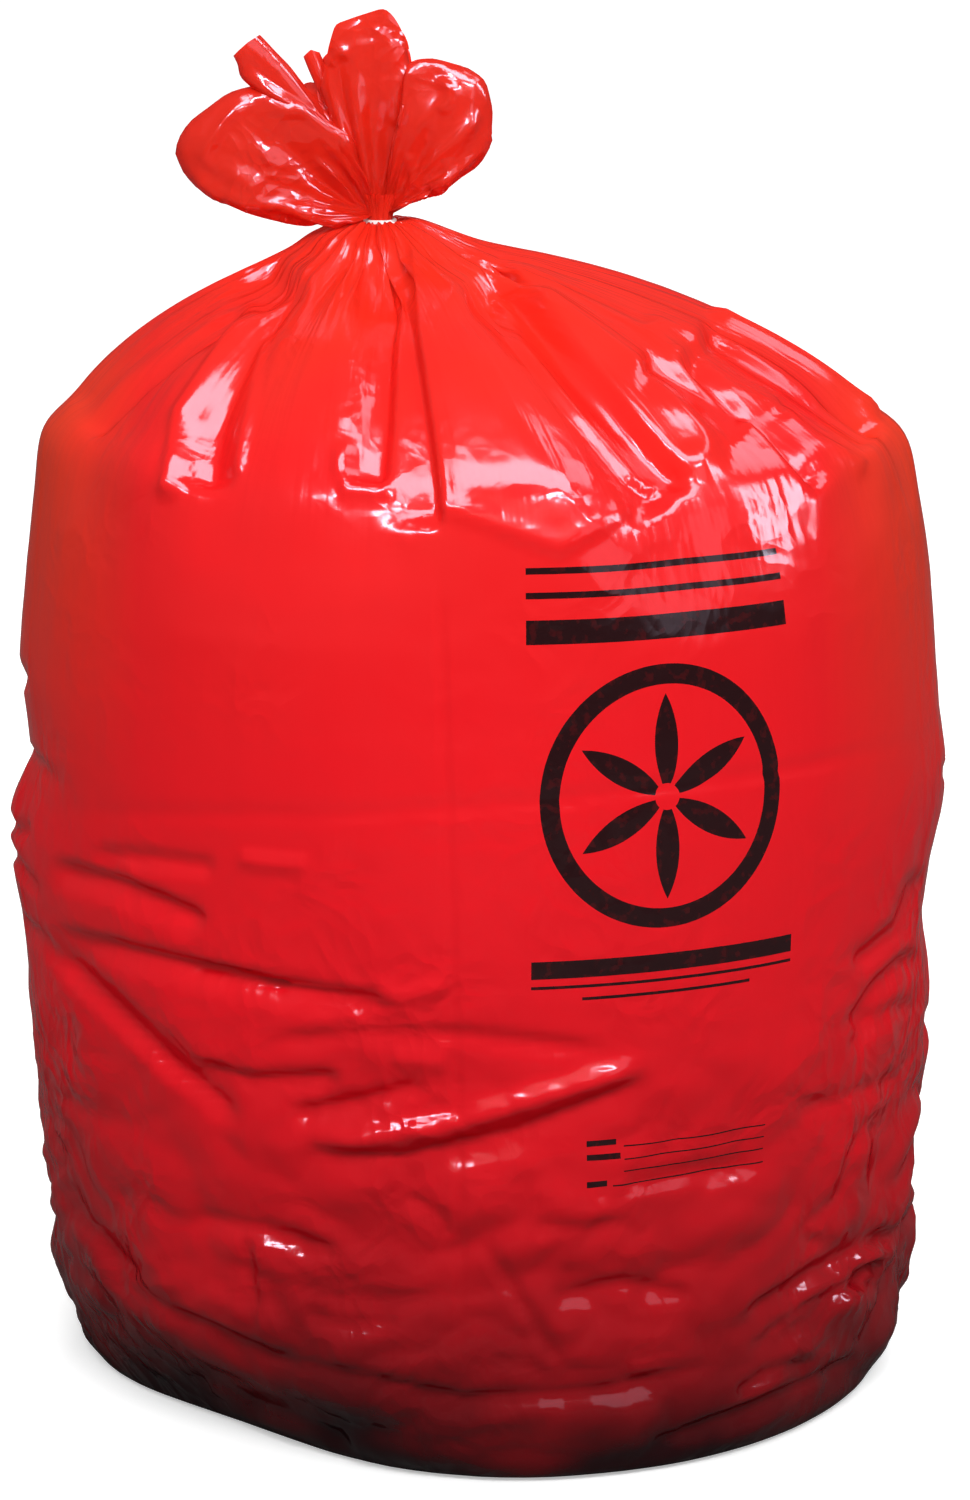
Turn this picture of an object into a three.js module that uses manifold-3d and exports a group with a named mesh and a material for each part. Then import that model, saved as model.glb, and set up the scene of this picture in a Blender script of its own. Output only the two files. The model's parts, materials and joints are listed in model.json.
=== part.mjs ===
// A tied waste bag of thin red film, filled with air and loose soft waste, standing on the floor.
// Millimetres, +Z up, the front (the printed side) faces -Y, and the floor is at Z = 0.
// The bag is one piece of tubular film, sealed at the bottom and gathered at the neck. Above the
// neck its free end spreads into lobes. A twist tie closes the neck.

import * as THREE from "three";
import { mergeVertices } from "three/addons/utils/BufferGeometryUtils.js";
import Module from "manifold-3d";

// Film: the lay-flat width of the tube sets how wide the filled bag is.
const filmWidth = 762;
const tubeRadius = filmWidth / Math.PI;

// Heights above the floor.
const footHeight = 46;
const bellyHeight = 310;
const shoulderHeight = 508;
const neckHeight = 622;

// Radii of the filled bag, from the floor upwards.
const floorRadius = 206;
const footTuck = 13;
const bellyBulge = 1;
const shoulderTuck = 12;
const shoulderRound = 17;

// Neck: the film gathered tight, to the left of the bag's middle.
const neckRadius = 7;
const neckOffset = -52;
const neckLength = 12;
const gatherFlare = 58;
const throatFlare = 7;

// Between shoulder and neck the film bows out over the air inside. These shares of the way out
// and up are where it bows the most.
const crownOut = 0.7;
const crownUp = 0.7;
const gatherUp = 0.98;

// Round bag, a little wider than deep, with its flat-fold edges at the left and right.
const sideStretch = 0.01;
const foldEdgeAngles = [-90, 90];
const foldEdgeSpread = 9;
const foldEdgeStandOut = 4;

// Pleats that run from the neck down past the shoulder, folded like a knife's edge: flat sides that
// meet in a valley. They pull the wall in, and the slope above it both in and down. Angles go round
// from the front towards +X, and left and right are how far each side of a pleat spreads.
const pleatReach = 70;
const pleatSlopeIn = 0.55;
const pleatSlopeDown = 0.55;
const pleatEdge = 1.5;
const pleats = [
  { angle: -62, left: 9, right: 12, depth: 10 },
  { angle: -35, left: 7, right: 13, depth: 14 },
  { angle: -13, left: 12, right: 6, depth: 11 },
  { angle: 26, left: 6, right: 9, depth: 17 },
  { angle: 43, left: 8, right: 6, depth: 11 },
  { angle: 58, left: 7, right: 6, depth: 10 },
  { angle: 76, left: 7, right: 9, depth: 9 },
  { angle: 99, left: 8, right: 8, depth: 12 },
  { angle: 126, left: 9, right: 9, depth: 16 },
  { angle: 151, left: 7, right: 7, depth: 12 },
  { angle: 178, left: 8, right: 8, depth: 15 },
  { angle: 204, left: 7, right: 7, depth: 11 },
  { angle: 229, left: 9, right: 9, depth: 16 },
  { angle: 258, left: 7, right: 7, depth: 10 },
];

// Tucks in the side wall, where the film folds over itself near its flat-fold edges. Heights are
// shares of the shoulder's height and depths are shares of the deepest tuck.
const tuckHalfHeight = 22;
const tuckDepth = 11;
const tucks = [
  { angle: -90, height: 0.677, spread: 26, depth: 1 },
  { angle: -90, height: 0.585, spread: 26, depth: -0.55 },
  { angle: 90, height: 0.654, spread: 20, depth: -0.36 },
  { angle: 88, height: 0.518, spread: 18, depth: 0.9 },
  { angle: 190, height: 0.626, spread: 40, depth: 0.55 },
];

// The foot is pulled in and up at the left of the front, where a bottom corner is tucked under.
const cornerAngle = -42;
const cornerSpread = 34;
const cornerTuck = 28;
const cornerHeight = 70;

// Lobes of the free end above the neck. Tip is from the middle of the tie, and face is the way the
// lobe's broad side looks. Peak is where along its length a lobe is widest, and blunt squares its end.
// Tips, widths and thicknesses are shares of the reach of the longest lobe. Each lobe rises from the
// gather before it bends out, and its root is a share of its full width.
const lobeReach = 110;
const lobeRise = 22;
const lobeBend = 0.36;
const lobeRoot = 0.16;
const lobeSwell = 1.3;
const lobes = [
  { tip: [-1, -0.2, 0.27], face: [0, -1, 0.25], width: 0.6, thickness: 0.27, peak: 0.66, blunt: 2.4 },
  { tip: [-0.64, -0.145, 0.73], face: [0, -1, 0.2], width: 0.245, thickness: 0.18, peak: 0.8, blunt: 7 },
  { tip: [-0.09, 0.09, 0.945], face: [0, -1, 0], width: 0.42, thickness: 0.136, peak: 0.66, blunt: 5 },
  { tip: [0.51, -0.07, 0.545], face: [0, -1, 0.15], width: 0.565, thickness: 0.22, peak: 0.68, blunt: 2.6 },
  { tip: [-0.33, 0.22, 0.78], face: [0.5, 1, 0], width: 0.236, thickness: 0.11, peak: 0.7, blunt: 3 },
  { tip: [-0.565, 0.51, 0.436], face: [0, -0.6, 1], width: 0.49, thickness: 0.2, peak: 0.64, blunt: 2.4 },
  { tip: [0.07, 0.655, 0.455], face: [0, -0.7, 1], width: 0.527, thickness: 0.2, peak: 0.66, blunt: 2.4 },
  { tip: [0.4, 0.327, 0.6], face: [0.6, 1, 0.4], width: 0.364, thickness: 0.145, peak: 0.64, blunt: 3 },
  { tip: [0.18, -0.36, 0.38], face: [0.2, -0.7, 0.8], width: 0.33, thickness: 0.145, peak: 0.62, blunt: 2.6 },
  { tip: [-0.31, -0.44, 0.27], face: [-0.2, -0.7, 0.8], width: 0.4, thickness: 0.16, peak: 0.62, blunt: 2.6 },
];

// Twist tie: a flat ribbon round the neck, with its two ends twisted together.
const tieClearance = 0.3;
const tieThickness = 1.4;
const tieWidth = 4;
const tieEndLength = 11;
const tieEndThickness = 2.1;
const tieEndWidth = 3.2;
const tieEndTurns = 1.25;
const tieEndAngle = 38;

// Fineness of the faces.
const bagSegments = 108;
const footRows = 5;
const wallRows = 18;
const foldRows = 3;
const slopeRows = 12;
const lobeSegments = 14;
const lobeRows = 9;
const tieSegments = 24;
const tieEndSegments = 12;

const filmMaterial = new THREE.MeshStandardMaterial({ color: 0xdd1a22, roughness: 0.22, metalness: 0 });
const tieMaterial = new THREE.MeshStandardMaterial({ color: 0xf0efe9, roughness: 0.4, metalness: 0 });

const wasm = await Module();
wasm.setup();

// A closed geometry as a solid that can be joined.
function solidOf(geometry) {
  const plain = geometry.clone();
  plain.deleteAttribute("normal");
  plain.deleteAttribute("uv");
  const merged = mergeVertices(plain, 1e-3);
  return new wasm.Manifold(
    new wasm.Mesh({
      numProp: 3,
      vertProperties: merged.attributes.position.array,
      triVerts: new Uint32Array(merged.index.array),
    }),
  );
}

// A joined solid as a named mesh.
function meshOf(solid, name, material) {
  const { vertProperties, triVerts } = solid.getMesh();
  const geometry = new THREE.BufferGeometry()
    .setAttribute("position", new THREE.BufferAttribute(vertProperties, 3))
    .setIndex(new THREE.BufferAttribute(triVerts, 1));
  const mesh = new THREE.Mesh(geometry, material);
  mesh.name = name;
  return mesh;
}

// A bump of height 1 at 0 that fades to nothing, with its spread as half-width.
const bump = (distance, spread) => Math.exp(-((distance / spread) ** 2));

// The smaller way round from angle b to angle a, in degrees, plus towards +X as seen from the front.
const angleFrom = (a, b) => ((((a - b + 180) % 360) + 360) % 360) - 180;

// Half of the bag's outline, from the middle of its base to the middle of the free end.
function bagProfile() {
  const v = (r, z) => new THREE.Vector2(r, z);
  const foot = v(tubeRadius - footTuck, footHeight);
  const belly = v(tubeRadius + bellyBulge, bellyHeight);
  const shoulder = v(tubeRadius - shoulderTuck, shoulderHeight);
  const crown = v(shoulder.x - shoulderRound, shoulder.y + shoulderRound);
  const neckFoot = neckHeight - neckLength / 2;
  const neckTop = neckHeight + neckLength / 2;
  const rise = neckFoot - shoulder.y;

  const heel = new THREE.QuadraticBezierCurve(v(floorRadius, 0), v(foot.x, 0), foot);
  const wall = new THREE.SplineCurve([foot, belly, shoulder]);
  const fold = new THREE.QuadraticBezierCurve(shoulder, v(shoulder.x, crown.y), crown);
  const slope = new THREE.CubicBezierCurve(
    crown,
    v(shoulder.x * crownOut, shoulder.y + rise * crownUp),
    v(neckRadius + gatherFlare, shoulder.y + rise * gatherUp),
    v(neckRadius, neckFoot),
  );
  const mouth = v(neckRadius + throatFlare, neckTop + neckLength);
  const throat = new THREE.LineCurve(v(neckRadius, neckTop), mouth);
  return [
    v(0, 0),
    ...heel.getPoints(footRows),
    ...wall.getPoints(wallRows).slice(1),
    ...fold.getPoints(foldRows).slice(1),
    ...slope.getPoints(slopeRows).slice(1),
    ...throat.getPoints(1),
    v(0, mouth.y),
  ];
}

// How far a pleat pulls the film in, at one angle, in millimetres.
function pleatDepth(angle) {
  return pleats.reduce((sum, { angle: middle, left, right, depth }) => {
    const turn = angleFrom(angle, middle);
    const spread = turn < 0 ? left : right;
    return sum + depth * Math.exp(-((Math.abs(turn) / spread) ** pleatEdge));
  }, 0);
}

// One point of the turned outline, moved to where the soft film lies.
function settle(x, z, height) {
  const radius = Math.hypot(x, z);
  const angle = THREE.MathUtils.radToDeg(Math.atan2(x, z));
  const share = Math.min(1, radius / tubeRadius);
  const aboveNeck = height > neckHeight - neckLength;
  const { smoothstep } = THREE.MathUtils;

  // Pleats start below the shoulder and close again in the gather.
  const begun = smoothstep(height, shoulderHeight - pleatReach, shoulderHeight + shoulderRound);
  const pull = aboveNeck ? 0 : pleatDepth(angle) * begun * Math.sqrt(share);
  const onSlope = smoothstep(height, shoulderHeight - pleatReach / 2, shoulderHeight + pleatReach / 2);
  const pleatIn = pull * (1 - (1 - pleatSlopeIn) * onSlope);
  const pleatDown = pull * pleatSlopeDown * onSlope;

  // Tucks near the fold edges, and the fold edges themselves.
  const tuckIn = tucks.reduce((sum, t) => {
    const along = bump(angleFrom(angle, t.angle), t.spread);
    return sum + tuckDepth * t.depth * along * bump(height - t.height * shoulderHeight, tuckHalfHeight);
  }, 0);
  const onEdge = Math.max(...foldEdgeAngles.map((a) => bump(angleFrom(angle, a), foldEdgeSpread)));
  const edgeOut = foldEdgeStandOut * onEdge * smoothstep(height, 0, footHeight) * share ** 3;

  // The tucked bottom corner.
  const low = 1 - smoothstep(height, 0, cornerHeight);
  const cornerIn = cornerTuck * bump(angleFrom(angle, cornerAngle), cornerSpread) * low * share;

  const moved = radius - pleatIn - tuckIn - cornerIn + edgeOut;
  const scale = radius > 0 ? moved / radius : 1;
  const inward = Math.max(0, 1 - radius / (tubeRadius - shoulderTuck));
  const lean = height > shoulderHeight ? neckOffset * (aboveNeck ? 1 : inward) : 0;
  return new THREE.Vector3(
    x * scale * (1 + sideStretch * share) + lean,
    z * scale * (1 - sideStretch * share),
    height - pleatDown,
  );
}

// The filled bag and its gathered neck.
function bagBody() {
  const geometry = new THREE.LatheGeometry(bagProfile(), bagSegments);
  const position = geometry.attributes.position;
  for (let i = 0; i < position.count; i++) {
    const p = settle(position.getX(i), position.getZ(i), position.getY(i));
    position.setXYZ(i, p.x, p.z, p.y);
  }
  return geometry.rotateX(Math.PI / 2);
}

// One lobe of the free end: a ball drawn out along a bent line, wide one way and thin the other.
function lobe({ tip, face, width, thickness, peak, blunt }) {
  const end = new THREE.Vector3(...tip).multiplyScalar(lobeReach);
  const line = new THREE.QuadraticBezierCurve3(
    new THREE.Vector3(0, 0, neckLength / 2),
    end.clone().multiplyScalar(lobeBend).setZ(end.z * lobeBend + lobeRise),
    end,
  );
  const widthShare = (s) =>
    s < peak
      ? lobeRoot + (1 - lobeRoot) * Math.sin(((s / peak) * Math.PI) / 2) ** lobeSwell
      : Math.max(0, 1 - ((s - peak) / (1 - peak)) ** blunt) ** (1 / blunt);
  const broad = new THREE.Vector3(...face).normalize();
  const geometry = new THREE.SphereGeometry(1, lobeSegments, lobeRows);
  const position = geometry.attributes.position;
  for (let i = 0; i < position.count; i++) {
    const along = (1 + position.getY(i)) / 2;
    const round = Math.hypot(position.getX(i), position.getZ(i));
    const [side, out] = round > 1e-6 ? [position.getX(i) / round, position.getZ(i) / round] : [0, 0];
    const tangent = line.getTangent(along);
    const across = new THREE.Vector3().crossVectors(broad, tangent).normalize();
    const normal = new THREE.Vector3().crossVectors(across, tangent);
    const share = round > 1e-6 ? widthShare(along) : 0;
    const p = line
      .getPoint(along)
      .addScaledVector(across, (side * share * width * lobeReach) / 2)
      .addScaledVector(normal, (out * share * thickness * lobeReach) / 2);
    position.setXYZ(i, p.x, p.y, p.z);
  }
  return geometry.translate(neckOffset, 0, neckHeight + neckLength / 2);
}

// The whole bag as one piece of film. Pockets that the lobes seal between them are filled.
function bag() {
  const joined = lobes.reduce((sum, l) => sum.add(solidOf(lobe(l))), solidOf(bagBody()));
  const skins = joined.decompose().sort((a, b) => b.volume() - a.volume());
  return meshOf(skins[0], "bag", filmMaterial);
}

// The twist tie: a band round the neck and the two ends twisted together.
function neckTie() {
  const inner = neckRadius + tieClearance;
  const outer = inner + tieThickness;
  const band = new THREE.LatheGeometry(
    [
      new THREE.Vector2(inner, -tieWidth / 2),
      new THREE.Vector2(outer, -tieWidth / 2),
      new THREE.Vector2(outer, tieWidth / 2),
      new THREE.Vector2(inner, tieWidth / 2),
      new THREE.Vector2(inner, -tieWidth / 2),
    ],
    tieSegments,
  ).rotateX(Math.PI / 2);

  const ends = new THREE.BoxGeometry(tieEndLength, tieEndThickness, tieEndWidth, tieEndSegments, 1, 1);
  const position = ends.attributes.position;
  const point = new THREE.Vector3();
  const axis = new THREE.Vector3(1, 0, 0);
  for (let i = 0; i < position.count; i++) {
    point.fromBufferAttribute(position, i);
    const along = point.x / tieEndLength + 0.5;
    point.applyAxisAngle(axis, along * tieEndTurns * Math.PI);
    position.setXYZ(i, point.x, point.y, point.z);
  }
  ends.translate(outer - tieThickness / 2 + tieEndLength / 2, 0, 0);
  ends.rotateZ(THREE.MathUtils.degToRad(tieEndAngle - 90));
  const solid = solidOf(band).add(solidOf(ends));
  const mesh = meshOf(solid, "neck_tie", tieMaterial);
  mesh.position.set(neckOffset, 0, neckHeight);
  return mesh;
}

// The frame's origin is the middle of the base of the bag's box.
const object = new THREE.Group();
object.add(bag(), neckTie());
const box = new THREE.Box3().setFromObject(object, true);
const middle = box.getCenter(new THREE.Vector3());
object.position.set(-middle.x, -middle.y, 0);

const part = new THREE.Group();
part.add(object);
export default part;
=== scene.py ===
import json
import math

import bmesh
import bpy
import numpy as np
from mathutils import Matrix, Vector, noise
from mathutils.bvhtree import BVHTree

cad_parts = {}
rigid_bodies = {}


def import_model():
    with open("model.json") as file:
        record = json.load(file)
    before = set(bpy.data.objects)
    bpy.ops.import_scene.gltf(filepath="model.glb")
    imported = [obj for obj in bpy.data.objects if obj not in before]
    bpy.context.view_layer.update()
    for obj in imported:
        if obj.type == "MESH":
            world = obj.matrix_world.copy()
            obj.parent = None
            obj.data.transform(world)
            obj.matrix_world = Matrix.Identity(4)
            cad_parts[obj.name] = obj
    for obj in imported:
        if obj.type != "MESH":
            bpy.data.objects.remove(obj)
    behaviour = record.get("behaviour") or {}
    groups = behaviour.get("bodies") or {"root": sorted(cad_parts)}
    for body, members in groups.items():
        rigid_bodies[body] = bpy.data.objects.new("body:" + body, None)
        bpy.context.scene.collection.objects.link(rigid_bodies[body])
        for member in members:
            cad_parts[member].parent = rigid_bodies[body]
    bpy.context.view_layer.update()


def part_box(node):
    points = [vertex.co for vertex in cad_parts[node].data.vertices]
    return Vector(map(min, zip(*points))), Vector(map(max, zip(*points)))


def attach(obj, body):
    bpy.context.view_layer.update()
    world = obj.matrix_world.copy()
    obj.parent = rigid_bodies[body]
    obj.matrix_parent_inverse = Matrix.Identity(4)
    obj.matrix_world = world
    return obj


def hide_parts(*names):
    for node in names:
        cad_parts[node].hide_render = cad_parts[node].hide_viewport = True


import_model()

# Metres, +Z up. The printed front faces -Y and the floor is at Z = 0.
# Angles go round the bag from the front towards +X, in degrees.

# Film, as it lies flat before it is filled.
FILM_WIDTH = 0.762
TUBE_RADIUS = FILM_WIDTH / math.pi

# Heights where the film changes direction.
LIFT = 0.004
SHOULDER = 0.508

# The neck, from the tie that closes it.
TIE_RADIUS = 0.0087
tie_low, tie_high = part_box("neck_tie")
NECK = Vector((tie_low.x + TIE_RADIUS, tie_high.y - TIE_RADIUS, (tie_low.z + tie_high.z) / 2))
NECK_RADIUS = 0.0066
PUFF_RISE = 0.010

# Fineness of the film: steps round the bag, and up it. One subdivision follows the simulation.
AROUND = 210
CLOSER_FRONT = 0.42
BASE_ROWS = 5
WALL_ROWS = 66
SLOPE_ROWS = 42
THROAT_ROWS = 4

# Camera, at the photograph's viewing angle. Its frame is 970 by 1500 pixels.
FRAME_WIDE, FRAME_HIGH = 970, 1500
LENS, SENSOR = 111.4, 36.0
CAMERA_DISTANCE = 2.5
CAMERA_ELEVATION = math.radians(12)
CAMERA_AIM = Vector((0, 0, 0.368))
AIM_PIXEL = (479, 694)
CAMERA_BACK = Vector((0, -math.cos(CAMERA_ELEVATION), math.sin(CAMERA_ELEVATION)))


# One pixel of the photograph at the bag, in metres, and how far a fold's bottom is rounded, in pixels.
PIXEL_SIZE = 0.00054
FOLD_ROUNDING = 2.5


def bump(distance, spread):
    return np.exp(-((distance / spread) ** 2))


def smoothstep(x, low, high):
    t = np.clip((x - low) / (high - low), 0, 1)
    return t * t * (3 - 2 * t)


def turn_between(a, b):
    return np.abs((a - b + 180) % 360 - 180)


def evenly(points, count, closer=1.0):
    """The points of an outline, moved along it so that they lie at even steps. Above 1, closer makes
    the steps shorter towards its end."""
    step = np.linalg.norm(np.diff(points, axis=0), axis=1)
    along = np.concatenate([[0], np.cumsum(step)])
    wanted = along[-1] * (1 - (1 - np.linspace(0, 1, count)) ** closer)
    return np.column_stack([np.interp(wanted, along, axis) for axis in points.T])


def read_vectors(items, name, size=3):
    flat = np.empty(len(items) * size)
    items.foreach_get(name, flat)
    return flat.reshape(-1, size)


def coordinates(mesh):
    return read_vectors(mesh.vertices, "co")


def normals(mesh):
    return read_vectors(mesh.vertices, "normal")


def move_to(mesh, places):
    mesh.vertices.foreach_set("co", np.ascontiguousarray(places, float).ravel())
    mesh.update()


def ripples(places, scale, seed):
    """Soft noise from -1 to 1 at each place. Scale is its size along each axis, in metres."""
    shift = np.array([seed * 3.7, seed * 1.3, -seed * 2.1])
    return np.array([noise.noise(Vector(p)) for p in places / np.array(scale) + shift])


def creased(places, scale, seed):
    """Noise with sharp ridges, from 0 to 1."""
    return 1 - np.abs(ripples(places, scale, seed)) * 2


def seen_at(places):
    """Where the camera sees each place, in pixels of the photograph's frame."""
    eye = np.array(CAMERA_AIM + CAMERA_BACK * CAMERA_DISTANCE)
    forward = -np.array(CAMERA_BACK)
    right = np.array([1.0, 0, 0])
    up = np.cross(right, forward)
    ray = places - eye
    depth = ray @ forward
    scale = FRAME_HIGH * LENS / SENSOR
    x = AIM_PIXEL[0] + scale * (ray @ right) / depth
    y = AIM_PIXEL[1] - scale * (ray @ up) / depth
    return np.column_stack([x, y])


def beside(points, path):
    """Signed distance of each point from a path, plus to its right as one goes along it, and the
    share of the path passed there."""
    path = np.array(path, float)
    best = np.full(len(points), np.inf)
    side = np.zeros(len(points))
    passed = np.zeros(len(points))
    lengths = np.hypot(*np.diff(path, axis=0).T)
    total = lengths.sum()
    done = 0.0
    for a, b, length in zip(path[:-1], path[1:], lengths):
        way = (b - a) / length
        rel = points - a
        t = np.clip(rel @ way, 0, length)
        near = rel - t[:, None] * way
        d = np.hypot(near[:, 0], near[:, 1])
        closer = d < best
        best = np.where(closer, d, best)
        side = np.where(closer, np.sign(rel[:, 0] * -way[1] + rel[:, 1] * way[0]), side)
        passed = np.where(closer, (done + t) / total, passed)
        done += length
    return best * side, passed


def fold(points, path, depth, left, right, ends=(0.15, 0.15)):
    """How far a fold along a path draws the film in: a valley with a crisp bottom, between two flat
    sides. Left and right are how wide its sides are."""
    d, passed = beside(points, path)
    off = np.sqrt(d**2 + FOLD_ROUNDING**2) - FOLD_ROUNDING
    shape = np.clip(1 - off / np.where(d < 0, left, right), 0, 1) ** 1.4
    taper = np.ones(len(points))
    if ends[0] > 0:
        taper *= smoothstep(passed, 0, ends[0])
    if ends[1] > 0:
        taper *= smoothstep(1 - passed, 0, ends[1])
    return depth * shape * taper


# The bag's film

# Its wall turns into the slope over a little height below the shoulder.
WALL_TOP = SHOULDER - 0.010
GATHER_FOLDS = 40
BACK_CREASES = 34

# The bottom corner at the left of the front, pulled in under the bag, and up to what height.
CORNER_ANGLE, CORNER_SPREAD = -44, 26
CORNER_PULL, CORNER_HEIGHT = 0.024, 0.085

# The share of its settling that the slope doesn't take, so that its pleats keep their places.
SLOPE_HELD = 0.88


def round_angles():
    """Angles round the bag from the middle of its back, closer together across the front."""
    even = np.linspace(-180, 180, AROUND + 1)
    return even - CLOSER_FRONT * np.degrees(np.sin(np.radians(even)))


def frame_tree():
    node = next(o for o in bpy.data.objects if o.name == "bag")
    verts = [node.matrix_world @ v.co for v in node.data.vertices]
    return BVHTree.FromPolygons(verts, [tuple(p.vertices) for p in node.data.polygons])


def wall_radius(tree, angle, height):
    turn = math.radians(angle)
    centre = Vector((0, 0, height))
    hit = tree.ray_cast(centre, Vector((math.sin(turn), -math.cos(turn), 0)))
    return (hit[0] - centre).length


def slope_column(tree, edge, gather):
    """Even steps up the frame's slope, from the shoulder's edge to the gather."""
    pivot = Vector((gather[0], gather[1], SHOULDER - 0.09))
    places = [edge]
    for share in np.linspace(0.02, 0.97, 40):
        chord = Vector(edge * (1 - share) + gather * share)
        places.append(np.array(tree.ray_cast(pivot, (chord - pivot).normalized())[0]))
    column = evenly(np.array(places + [gather]), SLOPE_ROWS + 1, 1.35)

    # The film puffs up round the tie.
    away = np.linalg.norm(column[:, :2] - np.array([NECK.x, NECK.y]), axis=1)
    column[:, 2] += PUFF_RISE * smoothstep(away, NECK_RADIUS, 0.015) * bump(away - 0.012, 0.034)
    return column


def film_rows(tree, angles):
    """Rings of places for the bag's film, from the middle of its base to the throat above the tie."""
    turn = np.radians(angles)
    out = np.column_stack([np.sin(turn), -np.cos(turn)])

    def ring(flat, height):
        return np.column_stack([flat, np.full(len(angles), height)])

    # Base: flat on the floor, out to where the film lifts.
    foot = np.array([wall_radius(tree, a, LIFT) for a in angles]) - LIFT
    rows = [ring(out * (foot * share)[:, None], 0) for share in np.arange(BASE_ROWS) / BASE_ROWS]

    # Wall: the frame's own outline.
    heights = np.linspace(LIFT, WALL_TOP, 60)
    front = np.array([(wall_radius(tree, 0, h), h) for h in heights])
    profile = evenly(np.vstack([[foot[len(foot) // 2], 0], front]), WALL_ROWS + 1)
    for height in profile[:-1, 1]:
        radius = foot if height < LIFT else np.array([wall_radius(tree, a, height) for a in angles])
        rows.append(ring(out * radius[:, None], height))

    # Slope: the frame's own, from the shoulder in to the neck, with its pleats.
    neck_foot = NECK.z - 0.007
    centre = np.array([NECK.x, NECK.y])
    columns = []
    for angle, way in zip(angles, out):
        edge = way * wall_radius(tree, angle, WALL_TOP)
        gather = centre + way * NECK_RADIUS
        columns.append(slope_column(tree, np.append(edge, WALL_TOP), np.append(gather, neck_foot)))
    rows.extend(np.array(columns).transpose(1, 0, 2))

    # Throat: through the tie and a little open above it.
    for share in np.arange(1, THROAT_ROWS + 1) / THROAT_ROWS:
        flat = out * (NECK_RADIUS + 0.006 * share**3) + np.array([NECK.x, NECK.y])
        rows.append(ring(flat, neck_foot + 0.022 * share))
    return np.array(rows)


def drawn_in(angles, rows):
    """How far small folds draw the film in near the gather, in metres."""
    reach = np.linalg.norm(rows - np.array(NECK), axis=2)
    total = np.zeros(reach.shape)
    rng = np.random.default_rng(7)
    evenly_round = np.linspace(-180, 180, GATHER_FOLDS + 1)[:-1]
    for angle in evenly_round + rng.uniform(-3.5, 3.5, GATHER_FOLDS):
        side = turn_between(angles, angle)[None, :]
        width, depth = rng.uniform(1.6, 3.4), rng.uniform(0.0010, 0.0032)
        near = smoothstep(-reach, -0.17, -0.04)
        total += depth * np.exp(-((side / width) ** 2)) * near * np.clip(reach / 0.03, 0, 1)
    return total


def film_body():
    tree = frame_tree()
    angles = round_angles()
    rows = film_rows(tree, angles)
    across = np.cross(np.gradient(rows, axis=1), np.gradient(rows, axis=0))
    across /= np.linalg.norm(across, axis=2, keepdims=True) + 1e-12
    across[: BASE_ROWS + 1] = (0, 0, -1)
    rows_moved = rows - across * drawn_in(angles, rows)[:, :, None]

    bm = bmesh.new()
    film = bm.loops.layers.uv.new("film")
    bmesh.ops.create_grid(bm, x_segments=AROUND, y_segments=len(rows) - 1, size=0.5, calc_uvs=True)
    steps = np.linalg.norm(np.diff(rows[:, AROUND // 2], axis=0), axis=1)
    climbed = np.concatenate([[0], np.cumsum(steps)])
    for face in bm.faces:
        for loop in face.loops:
            u, v = loop[film].uv
            row, column = int(round(v * (len(rows) - 1))), int(round(u * AROUND))
            loop[film].uv = (math.radians(angles[column]) * TUBE_RADIUS, climbed[row])
    for v in bm.verts:
        column = int(round((v.co.x + 0.5) * AROUND))
        row = int(round((v.co.y + 0.5) * (len(rows) - 1)))
        v.co = rows_moved[row, column]
    bmesh.ops.remove_doubles(bm, verts=bm.verts, dist=1e-6)
    return link("bag_film", bm)


def link(name, bm):
    mesh = bpy.data.meshes.new(name)
    bm.to_mesh(mesh)
    bm.free()
    mesh.polygons.foreach_set("use_smooth", [True] * len(mesh.polygons))
    piece = bpy.data.objects.new(name, mesh)
    bpy.context.collection.objects.link(piece)
    return piece


def settle(piece, frames, held, pressure, bending, rest_scale=None, cap=None, kept=None):
    """Lets the film settle as cloth, and leaves the result in the mesh. The film is larger than its
    start by its rest scale, no place moves further than the cap, and kept is the share of the movement
    that each place keeps."""
    mesh = piece.data
    start = coordinates(mesh)
    group = piece.vertex_groups.new(name="held")
    group.add([int(i) for i in np.flatnonzero(held)], 1.0, "REPLACE")
    cloth = piece.modifiers.new("settle", "CLOTH")
    s = cloth.settings
    s.vertex_group_mass = "held"
    s.quality = 6
    s.mass = 0.02
    s.tension_stiffness = 40
    s.compression_stiffness = s.shear_stiffness = 10
    s.bending_stiffness = bending
    s.tension_damping = s.compression_damping = s.shear_damping = 5
    s.bending_damping = 0.5
    s.air_damping = 2
    s.use_pressure = True
    s.uniform_pressure_force = pressure
    s.effector_weights.gravity = 0
    cloth.collision_settings.use_collision = False
    cloth.collision_settings.use_self_collision = False
    if rest_scale:
        piece.shape_key_add(name="Basis")
        key = piece.shape_key_add(name="rest")
        key.data.foreach_set("co", ((start - np.array(NECK)) * rest_scale + np.array(NECK)).ravel())
        key.value = 0
        s.rest_shape_key = key
    cloth.point_cache.frame_start = 1
    cloth.point_cache.frame_end = frames
    for f in range(1, frames + 1):
        bpy.context.scene.frame_set(f)
    out = coordinates(piece.evaluated_get(bpy.context.evaluated_depsgraph_get()).data)
    moved = out - start
    far = np.linalg.norm(moved, axis=1, keepdims=True)
    if cap:
        out = start + moved * np.minimum(1, cap / (far + 1e-9))
    if kept is not None:
        out = start + moved * kept[:, None]
    piece.modifiers.remove(cloth)
    if rest_scale:
        piece.shape_key_clear()
    piece.vertex_groups.remove(group)
    bpy.context.scene.frame_set(1)
    move_to(mesh, out)


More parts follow.
